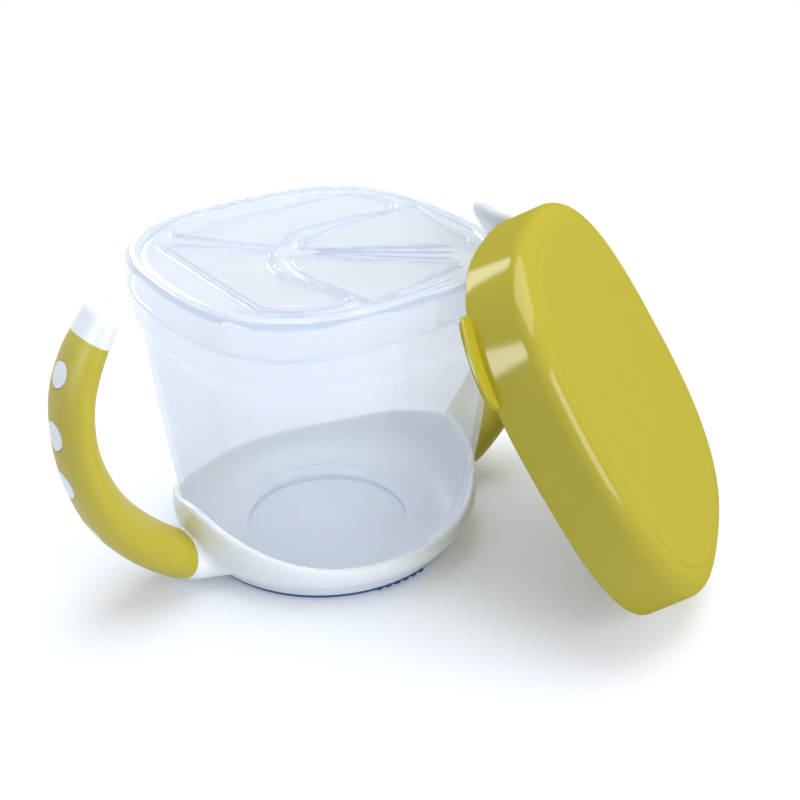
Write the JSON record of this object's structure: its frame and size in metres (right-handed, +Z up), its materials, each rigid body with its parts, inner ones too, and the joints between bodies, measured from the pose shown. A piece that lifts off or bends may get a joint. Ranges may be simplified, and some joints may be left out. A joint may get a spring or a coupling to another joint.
{
  "type": "toddler snack container",
  "caption": "Clear toddler snack cup with a round base, two soft-grip handles, a hinged-flap snack insert and a matching storage lid leaning on its rim.",
  "frame": {"origin": "centre of the foot on the table", "axes": "+Z up, +X along the line through the two handles, -Y towards the side the picture shows most of"},
  "size_m": [0.1793, 0.1511, 0.097],
  "materials": {
    "clear_cup": "clear gloss polypropylene",
    "clear_insert": "clear gloss flexible plastic",
    "white": "satin",
    "lime_grip": "satin soft-touch",
    "lime_lid": "gloss",
    "blue_pad": "matt"
  },
  "bodies": {
    "base": {"cup": "clear_cup", "handle_ring": "white", "grip_left": "lime_grip", "grip_right": "lime_grip", "base_pad": "blue_pad"},
    "insert": {"insert_frame": "clear_insert"},
    "flap_back": {"flap_back": "clear_insert"},
    "flap_left": {"flap_left": "clear_insert"},
    "flap_right": {"flap_right": "clear_insert"},
    "flap_front": {"flap_front": "clear_insert"},
    "lid": {"storage_lid": "lime_lid"}
  },
  "joints": [
    {"name": "insert_lift", "type": "slide", "parent": "base", "child": "insert", "axis": [0, 0, 1], "range_m": [0, 0.03]},
    {"name": "flap_back_hinge", "type": "hinge", "parent": "insert", "child": "flap_back", "pos_m": [0.00106, 0.0314, 0.08639], "axis": [1, 0, 0], "range_deg": [0, 55], "stiffness_Nm_per_rad": 0.02},
    {"name": "flap_left_hinge", "type": "hinge", "parent": "insert", "child": "flap_left", "pos_m": [-0.0314, -0.00106, 0.08639], "axis": [0, 1, 0], "range_deg": [0, 55], "stiffness_Nm_per_rad": 0.02},
    {"name": "flap_right_hinge", "type": "hinge", "parent": "insert", "child": "flap_right", "pos_m": [0.03659, -0.00626, 0.08668], "axis": [-0.1684, -0.9857, 0], "range_deg": [0, 55], "stiffness_Nm_per_rad": 0.02},
    {"name": "flap_front_hinge", "type": "hinge", "parent": "insert", "child": "flap_front", "pos_m": [0.00626, -0.03659, 0.08668], "axis": [-0.9857, -0.1684, 0], "range_deg": [0, 55], "stiffness_Nm_per_rad": 0.02},
    {"name": "lid_away", "type": "slide", "parent": "insert", "child": "lid", "axis": [0.5431, -0.6514, 0.5298], "range_m": [0, 0.06]}
  ]
}
